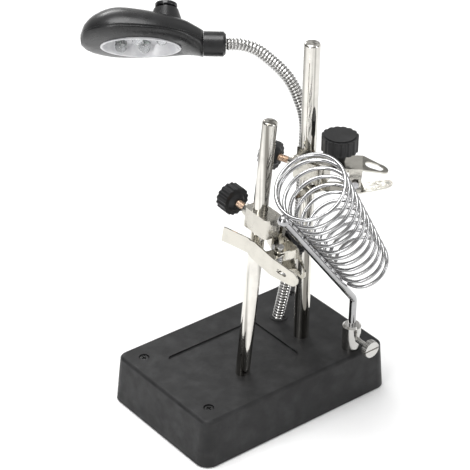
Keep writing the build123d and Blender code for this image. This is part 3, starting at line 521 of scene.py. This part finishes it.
def rounded_route(points, per_arc=14):
    """Straight runs joined by arcs, each as large as its two runs allow."""
    line = [points[0]]
    for before, corner, after in zip(points, points[1:], points[2:]):
        arriving = corner - before
        leaving = after - corner
        turn = arriving.angle(leaving)
        if turn < radians(0.5):
            line.append(corner)
            continue
        reach = 0.45 * min(arriving.length, leaving.length)
        radius = reach / tan(turn / 2)
        ahead = arriving.normalized()
        inward = (leaving.normalized() - ahead * cos(turn)).normalized()
        first = corner - ahead * reach
        for k in range(per_arc + 1):
            swing = turn * k / per_arc
            line.append(first + (ahead * sin(swing) + inward * (1 - cos(swing))) * radius)
    line.append(points[-1])
    return line


def length_of(points):
    return sum((b - a).length for a, b in zip(points, points[1:]))


lower_bend = at_height(NECK_ROUTE[0], NECK_ROUTE[1], LOWER_BEND_Z)
upper_bend = at_height(NECK_ROUTE[1], NECK_ROUTE[2], UPPER_BEND_Z)
neck_corners = [
    neck_point(*NECK_ROUTE[0]), lower_bend, neck_point(*NECK_ROUTE[1]), upper_bend,
    *[neck_point(*p) for p in NECK_ROUTE[2:]], neck_point(LAMP_START - NECK_SHORT_OF_LAMP, LAMP_HEIGHT),
]
neck_line = rounded_route(neck_corners)
SPLIT_Z = 165.0
parting = at_height(NECK_ROUTE[1], NECK_ROUTE[2], SPLIT_Z)
low_line = [p for p in neck_line if p.z < SPLIT_Z * MM] + [parting]
high_line = [parting] + [p for p in neck_line if p.z > SPLIT_Z * MM]
RIB_DEPTH = 0.42
neck_setup = {"radius": (NECK_R - RIB_DEPTH) * MM, "step": RIB_PITCH * MM / 8, "facets": 24}
neck_ribs = (RIB_DEPTH * MM, RIB_PITCH * MM)
neck_low = tube_piece("gooseneck_ribs_low", low_line, hose_plate, rib=neck_ribs, **neck_setup)
neck_high = tube_piece(
    "gooseneck_ribs_high", high_line, hose_plate, rib=neck_ribs, start=length_of(low_line), **neck_setup
)
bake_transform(neck_low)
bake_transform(neck_high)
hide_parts("gooseneck_lower")
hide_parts("gooseneck_middle", "gooseneck_upper")

# ============================== iron holder ==============================
ROD_BEND = (65.6, -47.1, 89.0)
ROD_RISE = (-98.4, -26.1, 120.4)
ROD_R = 3.0
WIRE_R = 1.5
COIL_MOUTH_R = 26.8
COIL_END_R = 19.8
COIL_TURNS = 11
COIL_PITCH = 12.2
COIL_LONG = COIL_PITCH * COIL_TURNS
COIL_SIDE_TURN = radians(-12.0)
COIL_SET_BACK = 3.0
ROD_CLEAR = 0.2
RING_CLEAR = 0.15
COIL_SAG = 0.35
rod_line = Vector(ROD_RISE).normalized()
rod_tip = Vector(ROD_BEND) + Vector(ROD_RISE)
over = (UP - rod_line * UP.dot(rod_line)).normalized()
over.rotate(Matrix.Rotation(COIL_SIDE_TURN, 3, rod_line))
taper = atan2(COIL_MOUTH_R - COIL_END_R, COIL_LONG)
mouth_centre = rod_tip - rod_line * COIL_SET_BACK + over * (COIL_MOUTH_R + WIRE_R + ROD_R + ROD_CLEAR)
coil_z = -rod_line * cos(taper) - over * sin(taper)
coil_x = rod_line * sin(taper) - over * cos(taper)
coil_y = coil_z.cross(coil_x)


def coil_point(turn, depth, radius):
    """A point of the coil, in metres, from its turn, its depth past the mouth and its radius."""
    swing = 2 * pi * turn
    return (mouth_centre + coil_x * radius * cos(swing) + coil_y * radius * sin(swing) + coil_z * depth) * MM


coil_line = []
STEPS_PER_TURN = 56
for k in range(COIL_TURNS * STEPS_PER_TURN + 1):
    turn = k / STEPS_PER_TURN
    share = turn / COIL_TURNS
    sag = COIL_SAG * sin(2.7 * turn) * min(1.0, turn)
    coil_line.append(
        coil_point(turn, COIL_LONG * share + sag, COIL_MOUTH_R + (COIL_END_R - COIL_MOUTH_R) * share)
    )
coil_wire = tube_piece("holder_coil_wire", coil_line, wire_plate, WIRE_R * MM, 0.0022, 14)
ring_depth = -2 * WIRE_R - RING_CLEAR
RING_STEPS = 96
ring_line = [coil_point(k / RING_STEPS, ring_depth, COIL_MOUTH_R) for k in range(RING_STEPS)]
ring_wire = tube_piece("holder_mouth_wire", ring_line, wire_plate, WIRE_R * MM, 0.0018, 16, cyclic=True)
for piece, node in ((coil_wire, "holder_coil"), (ring_wire, "holder_mouth_ring")):
    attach(piece, "iron_holder")
    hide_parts(node)

# ============================== threaded post screws ==============================
POST_RADII = {"front": 5.75, "rear": 6.3}
POST_SCREW_LONG = 28.0
SCREW_R = 2.9
THREAD_PITCH = 1.0
THREAD_DEPTH = 0.45
THREAD_LEAD_IN = 0.8
THREAD_END_DROP = 0.7
SCREW_OFF_POST = 0.3


def threaded_rod(name, foot, axis, long, finish):
    """A rod with a helical thread and tapered ends, in metres."""
    side = axis.orthogonal().normalized()
    other = axis.cross(side)
    around, per_pitch = 24, 8
    rings = int(long / THREAD_PITCH * per_pitch) + 1
    points = []
    for ring in range(rings):
        z = long * ring / (rings - 1)
        lead = min(1.0, z / THREAD_LEAD_IN, (long - z) / THREAD_LEAD_IN)
        for k in range(around):
            swing = 2 * pi * k / around
            phase = (z / THREAD_PITCH - k / around) % 1.0
            cut = THREAD_DEPTH * abs(2 * phase - 1)
            radius = SCREW_R - cut - THREAD_END_DROP * (1 - lead)
            points.append(foot + (axis * z + side * radius * cos(swing) + other * radius * sin(swing)) * MM)
    faces = ring_faces(rings, around)
    faces.append(tuple(reversed(range(around))))
    faces.append(tuple(range((rings - 1) * around, rings * around)))
    return mesh_piece(name, points, faces, finish)


for side, post_r in POST_RADII.items():
    turn_joint = JOINTS[f"{side}_knob_turn"]
    axis = -Vector(turn_joint["axis"])
    foot = Vector(turn_joint["pos_m"]) + axis * (post_r + SCREW_OFF_POST) * MM
    screw = threaded_rod(f"{side}_post_screw_thread", foot, axis, POST_SCREW_LONG, brass_plate)
    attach(screw, f"{side}_knob")
    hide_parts(f"{side}_post_screw")

# ============================== lamp head ==============================
LAMP_ROLL = radians(47.0)
LAMP_LENGTH = 93.0
LAMP_FLOOR = -3.8
HEEL_X = 16.0
LAMP_WALL = 2.0
SEAM_GAP = 0.35
# along the lamp: distance from its neck, half width, height of its seam, dome above, depth below
LAMP_SECTIONS = [
    (0.0, 10.5, 0.0, 10.0, 10.0),
    (5.0, 14.5, 0.6, 12.0, 8.6),
    (14.0, 21.5, 1.2, 15.5, 6.6),
    (30.0, 28.5, 1.5, 19.2, 5.8),
    (50.0, 32.0, 1.5, 22.6, 5.8),
    (68.0, 32.0, 1.5, 23.4, 5.8),
    (82.0, 26.0, 1.5, 18.2, 5.2),
    (90.0, 17.0, 1.4, 11.0, 4.2),
    (LAMP_LENGTH, 8.0, 1.0, 4.5, 2.8),
]
lamp_origin = neck_point(LAMP_START, LAMP_HEIGHT)
lamp_x = neck_dir
lamp_z = UP * cos(LAMP_ROLL) + neck_side * sin(LAMP_ROLL)
lamp_y = lamp_z.cross(lamp_x)


def lamp_point(x, y, z):
    """A point from the lamp's own axes, in millimetres, to the row's, in metres."""
    return lamp_origin + (lamp_x * x + lamp_y * y + lamp_z * z) * MM


def section_at(x):
    """The lamp's section at a distance from its neck, on smooth curves through the stations."""
    rows = LAMP_SECTIONS
    k = max(i for i in range(len(rows) - 1) if rows[i][0] <= x)
    low, high = rows[k], rows[k + 1]
    before, after = rows[max(k - 1, 0)], rows[min(k + 2, len(rows) - 1)]
    span = high[0] - low[0]
    t = (x - low[0]) / span
    values = []
    for c in range(1, 5):
        slope_low = (high[c] - before[c]) / (high[0] - before[0]) * span
        slope_high = (after[c] - low[c]) / (after[0] - low[0]) * span
        values.append(
            low[c] * (2 * t**3 - 3 * t**2 + 1) + slope_low * (t**3 - 2 * t**2 + t)
            + high[c] * (3 * t**2 - 2 * t**3) + slope_high * (t**3 - t**2)
        )
    return values


def lamp_half(name, above):
    """Half of the lamp's moulding, from its seam to its crown or its flat floor, as a thin shell."""
    around, rings = 57, 62
    points = []
    for ring in range(rings):
        share = ring / (rings - 1)
        x = LAMP_LENGTH * (1 - (1 - share) ** 1.6)
        half, seam, dome, depth = section_at(min(x, LAMP_LENGTH - 1e-6))
        for k in range(around):
            swing = pi * k / (around - 1)
            if above:
                y, z = half * cos(swing), seam + SEAM_GAP + (dome - SEAM_GAP) * sin(swing)
            else:
                y, z = -half * cos(swing), seam - depth * sin(swing) ** 0.8
                if x > HEEL_X:
                    z = max(z, LAMP_FLOOR)
            points.append(lamp_point(x, y, z))
    faces = ring_faces(rings, around, closed=False)
    last = (rings - 1) * around
    faces.append(tuple(range(around)))
    faces.append(tuple(range(last, last + around)))
    shell = mesh_piece(name, points, faces, lamp_black)
    work = bmesh.new()
    work.from_mesh(shell.data)
    middle = lamp_point(50, 0, 4 if above else 0)
    outward = sum((f.normal.dot(f.calc_center_median() - middle) * f.calc_area() for f in work.faces))
    if outward < 0:
        bmesh.ops.reverse_faces(work, faces=work.faces)
    work.to_mesh(shell.data)
    work.free()
    wall = shell.modifiers.new("wall", "SOLIDIFY")
    wall.thickness = LAMP_WALL * MM
    wall.offset = -1.0
    wall.use_rim = True
    return shell


def ellipse_plug(name, x, long, wide, low, high):
    """An upright oval block used to cut an opening."""
    around = 96
    points = []
    for z in (low, high):
        for k in range(around):
            swing = 2 * pi * k / around
            points.append(lamp_point(x + long * cos(swing), wide * sin(swing), z))
    faces = ring_faces(2, around)
    faces += [tuple(range(around)), tuple(range(around, 2 * around))]
    return mesh_piece(name, points, faces, lamp_black)


def cut_out(piece, cutter):
    """Cuts one shape from another and leaves a plain mesh."""
    cut = piece.modifiers.new("opening", "BOOLEAN")
    cut.operation = "DIFFERENCE"
    cut.solver = "EXACT"
    cut.object = cutter
    plain = made_plain(piece)
    bpy.data.objects.remove(cutter)
    return plain


OPEN_X, OPEN_LONG, OPEN_WIDE = 47.5, 29.0, 18.0
REFLECTOR_RIM, RIM_CLEAR = 1.8, 0.05
opening_margin = REFLECTOR_RIM + RIM_CLEAR
SWITCH_X, STEM_R = 29.0, 7.2
STEM_CUT = (10, 40)
OPEN_CUT = (-12, 1.0)
crown = cut_out(
    lamp_half("lamp_crown", True),
    ellipse_plug("stem hole", SWITCH_X, STEM_R, STEM_R, *STEM_CUT),
)
tray = cut_out(
    lamp_half("lamp_tray", False),
    ellipse_plug(
        "light opening", OPEN_X, OPEN_LONG + opening_margin, OPEN_WIDE + opening_margin, *OPEN_CUT
    ),
)
for piece, node in ((crown, "lamp_top_shell"), (tray, "lamp_bottom_shell")):
    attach(piece, "lamp_head")
    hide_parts(node)

LED_SPOTS = [(63.0, -8.5), (45.0, -8.5), (49.5, 8.5), (31.0, 8.5)]
# radius and height along the outline of the bright cup on a stem inside each clear lamp
CUP_PROFILE = [(0.4, 4.3), (0.4, 2.0), (1.7, 1.2), (1.7, 0.9), (1.0, 1.5), (0.05, 1.6)]
CUP_FACETS = 20
cup_points, cup_faces = [], []
for led_x, led_y in LED_SPOTS:
    first = len(cup_points)
    for radius, height in CUP_PROFILE:
        for k in range(CUP_FACETS):
            swing = 2 * pi * k / CUP_FACETS
            cup_points.append(lamp_point(led_x + radius * cos(swing), led_y + radius * sin(swing), height))
    cup_faces += [tuple(first + k for k in face) for face in ring_faces(len(CUP_PROFILE), CUP_FACETS)]
    cup_faces.append(tuple(first + k for k in reversed(range(CUP_FACETS))))
    cup_faces.append(tuple(len(cup_points) - CUP_FACETS + k for k in range(CUP_FACETS)))
led_cups = mesh_piece("lamp_led_cups", cup_points, cup_faces, bright_lead.material)
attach(led_cups, "lamp_head")

# ============================== floor ==============================
FLOOR_HALF = 60.0
FLOOR_DROP = 0.0002
floor_signs = ((-1, -1), (1, -1), (1, 1), (-1, 1))
floor_points = [(sx * FLOOR_HALF, sy * FLOOR_HALF, -FLOOR_DROP) for sx, sy in floor_signs]
floor = mesh_piece("studio floor", floor_points, [(0, 1, 2, 3)], FLOOR_WHITE.material, smooth=False)
